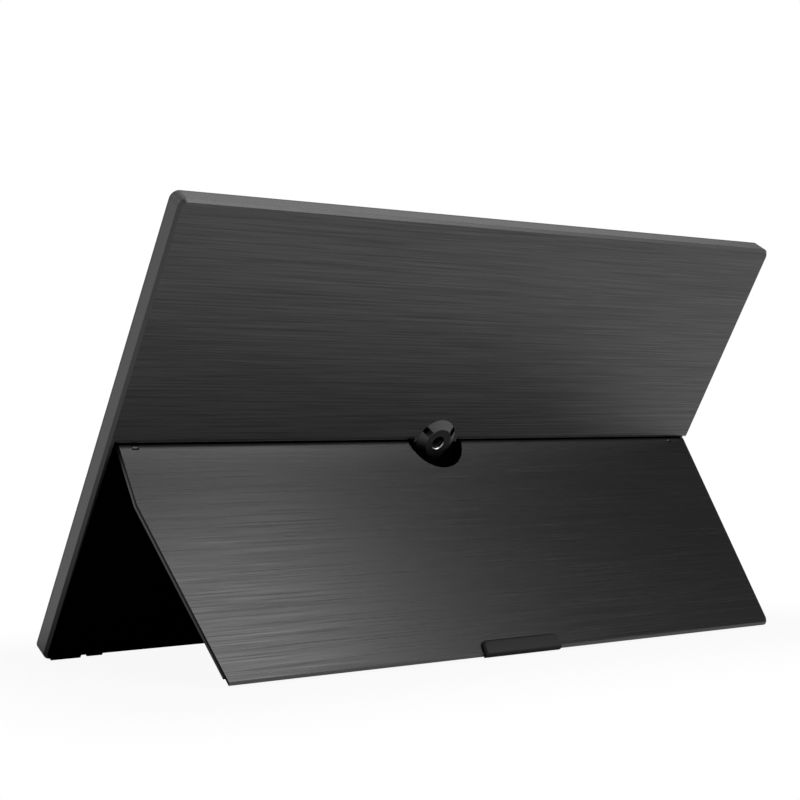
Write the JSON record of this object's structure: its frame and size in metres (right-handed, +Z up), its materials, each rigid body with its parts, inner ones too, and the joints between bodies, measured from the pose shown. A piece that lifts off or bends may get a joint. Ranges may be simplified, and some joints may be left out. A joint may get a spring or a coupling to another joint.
{
  "type": "portable monitor",
  "caption": "Thin portable monitor with a fold-out rear stand on a friction hinge, a slotted tripod socket at the hinge line, side buttons, a data socket and a rubber grip.",
  "frame": {"origin": "on the table under the middle of the width, midway between the bezel's lower front edge and the back of the stand's grip", "axes": "+X along the width, to the right of someone facing the screen; +Y from the screen side to the rear; +Z up"},
  "size_m": [0.3601, 0.1248, 0.2004],
  "materials": {
    "cover_grey": "hairline-brushed dark grey",
    "bezel_black": "satin",
    "stand_grey": "hairline-brushed dark grey",
    "stand_plastic": "satin",
    "steel": "plain",
    "rubber": "matt",
    "socket_plastic": "satin",
    "bright_metal": "turned",
    "screen": "matt anti-glare",
    "clear_sheet": "polished",
    "white_sheet": "satin",
    "sheet_metal": "plain",
    "tape": "matt",
    "foam": "open-cell",
    "board_green": "solder mask",
    "chip_black": "matt",
    "film_amber": "film",
    "button_black": "satin"
  },
  "bodies": {
    "monitor": {"rear_cover": "cover_grey", "front_bezel": "bezel_black", "panel_tape": "tape", "lcd_cell": "screen", "diffuser_films": "white_sheet", "light_guide": "clear_sheet", "led_bar": "board_green", "reflector_sheet": "white_sheet", "panel_tray": "sheet_metal", "panel_pads": "foam", "panel_driver_board": "board_green", "panel_film_leads": "film_amber", "display_cable": "film_amber", "cable_connectors": "chip_black", "main_board": "board_green", "board_chips": "chip_black", "shield_can": "sheet_metal", "data_socket_shell": "bright_metal", "data_socket_tongue": "chip_black", "button_switches": "chip_black", "board_screws": "steel", "case_screws": "steel", "hinge_screws": "steel", "tripod_boss": "socket_plastic", "tripod_nut": "bright_metal", "hinge_bracket_left": "steel", "hinge_bracket_right": "steel", "rubber_feet": "rubber"},
    "stand": {"stand_plate": "stand_grey", "stand_frame": "stand_plastic", "stand_core": "steel", "stand_grip": "rubber", "hinge_pin_left": "steel", "hinge_pin_right": "steel", "hinge_washers": "steel"},
    "power_button_cap": {"power_button": "button_black"},
    "menu_button_cap": {"menu_button": "button_black"},
    "up_button_cap": {"up_button": "button_black"},
    "down_button_cap": {"down_button": "button_black"}
  },
  "joints": [
    {"name": "stand_hinge", "type": "hinge", "parent": "monitor", "child": "stand", "pos_m": [0, 0.00057, 0.09595], "axis": [1, 0, 0], "range_deg": [-62.4, 12.6]},
    {"name": "power_press", "type": "slide", "parent": "monitor", "child": "power_button_cap", "axis": [1, 0, 0], "range_m": [0, 0.0004], "stiffness_N_per_m": 3000},
    {"name": "menu_press", "type": "slide", "parent": "monitor", "child": "menu_button_cap", "axis": [1, 0, 0], "range_m": [0, 0.0004], "stiffness_N_per_m": 3000},
    {"name": "up_press", "type": "slide", "parent": "monitor", "child": "up_button_cap", "axis": [1, 0, 0], "range_m": [0, 0.0004], "stiffness_N_per_m": 3000},
    {"name": "down_press", "type": "slide", "parent": "monitor", "child": "down_button_cap", "axis": [1, 0, 0], "range_m": [0, 0.0004], "stiffness_N_per_m": 3000}
  ]
}
